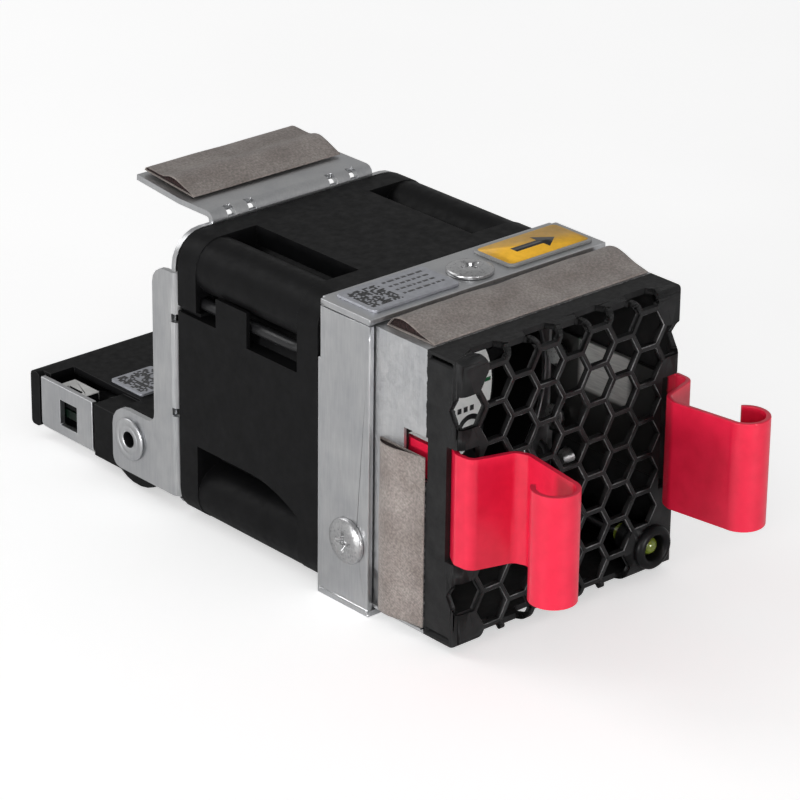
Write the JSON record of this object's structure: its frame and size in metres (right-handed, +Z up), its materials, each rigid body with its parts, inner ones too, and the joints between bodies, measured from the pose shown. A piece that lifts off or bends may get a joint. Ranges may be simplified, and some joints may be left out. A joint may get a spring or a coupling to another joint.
{
  "type": "switch fan tray",
  "caption": "Switch fan tray: sheet metal module holding one 40 mm axial fan, with a honeycomb inlet, sprung latch handles, conductive gaskets and a rear connector.",
  "frame": {"origin": "centre of the underside of the fan mount pan", "axes": "+X to the right seen from the honeycomb front, +Y from the honeycomb to the connector, +Z up"},
  "size_m": [0.0428, 0.1067, 0.0446],
  "materials": {
    "black_coat": "black powder coat, satin, finely speckled",
    "zinc": "bright zinc plated sheet steel",
    "steel": "nickel or zinc plated steel",
    "black_plastic": "black moulded plastic, fine grain",
    "pink_coat": "glossy red-pink coating on spring steel",
    "cloth": "grey-brown conductive woven cloth",
    "foam": "dark reddish foam",
    "copper": "enamelled copper windings",
    "magnet": "dark bonded magnet",
    "board_green": "green circuit board",
    "nylon": "white nylon",
    "paper": "white label with a green band",
    "silver_film": "silver-grey label film",
    "yellow_film": "yellow label film",
    "lens": "olive yellow-green lens",
    "lead_jacket": "black cable jacket"
  },
  "bodies": {
    "chassis": {"front_cover": "black_coat", "fan_mount_pan": "zinc", "rear_bracket": "zinc", "top_cover_screw": "steel", "left_cover_screw": "steel", "right_cover_screw": "steel", "front_fan_screw_left_low": "steel", "front_fan_screw_left_high": "steel", "front_fan_screw_right_low": "steel", "front_fan_screw_right_high": "steel", "rear_fan_screw_left_low": "steel", "rear_fan_screw_left_high": "steel", "rear_fan_screw_right_low": "steel", "rear_fan_screw_right_high": "steel", "left_latch_rivet_low": "steel", "left_latch_rivet_high": "steel", "right_latch_rivet_low": "steel", "right_latch_rivet_high": "steel", "left_pivot_rivet": "steel", "right_pivot_rivet": "steel", "indicator_bezel": "black_plastic", "indicator_lamp": "lens", "orientation_label": "yellow_film", "info_label": "silver_film", "fan_lead": "lead_jacket", "indicator_lead": "lead_jacket", "top_gasket": "cloth", "top_gasket_foam": "foam", "left_gasket": "cloth", "left_gasket_foam": "foam", "right_gasket": "cloth", "right_gasket_foam": "foam", "tongue_gasket": "cloth", "tongue_gasket_foam": "foam", "fan_frame": "black_plastic", "bearing_tube": "steel", "stator_core": "steel", "stator_coil_1": "copper", "stator_coil_2": "copper", "stator_coil_3": "copper", "stator_coil_4": "copper", "motor_board": "board_green", "hub_label": "paper", "front_bearing": "steel", "rear_bearing": "steel"},
    "rotor": {"impeller": "black_plastic", "rotor_yoke": "steel", "rotor_magnet": "magnet", "rotor_shaft": "steel"},
    "left_latch": {"left_latch_spring": "pink_coat"},
    "right_latch": {"right_latch_spring": "pink_coat"},
    "connector_carrier": {"connector_cover": "black_plastic", "carrier_tray": "zinc", "adapter_board": "board_green", "blind_connector": "black_plastic", "board_header": "nylon", "cable_plug": "nylon", "carrier_label": "silver_film", "plug_lead": "lead_jacket", "indicator_plug_lead": "lead_jacket"}
  },
  "joints": [
    {"name": "rotor_spin", "type": "hinge", "parent": "chassis", "child": "rotor", "pos_m": [0, 0.0192, 0.02045], "axis": [0, 1, 0], "continuous": true},
    {"name": "left_latch_pinch", "type": "hinge", "parent": "chassis", "child": "left_latch", "pos_m": [-0.01755, -0.0002, 0.02025], "axis": [0, 0, 1], "range_deg": [0, 4], "stiffness_Nm_per_rad": 2.5},
    {"name": "right_latch_pinch", "type": "hinge", "parent": "chassis", "child": "right_latch", "pos_m": [0.01755, -0.0002, 0.02025], "axis": [0, 0, -1], "range_deg": [0, 4], "stiffness_Nm_per_rad": 2.5},
    {"name": "carrier_float", "type": "hinge", "parent": "chassis", "child": "connector_carrier", "pos_m": [0, 0.0437, 0.0079], "axis": [1, 0, 0], "range_deg": [-4, 4]}
  ]
}
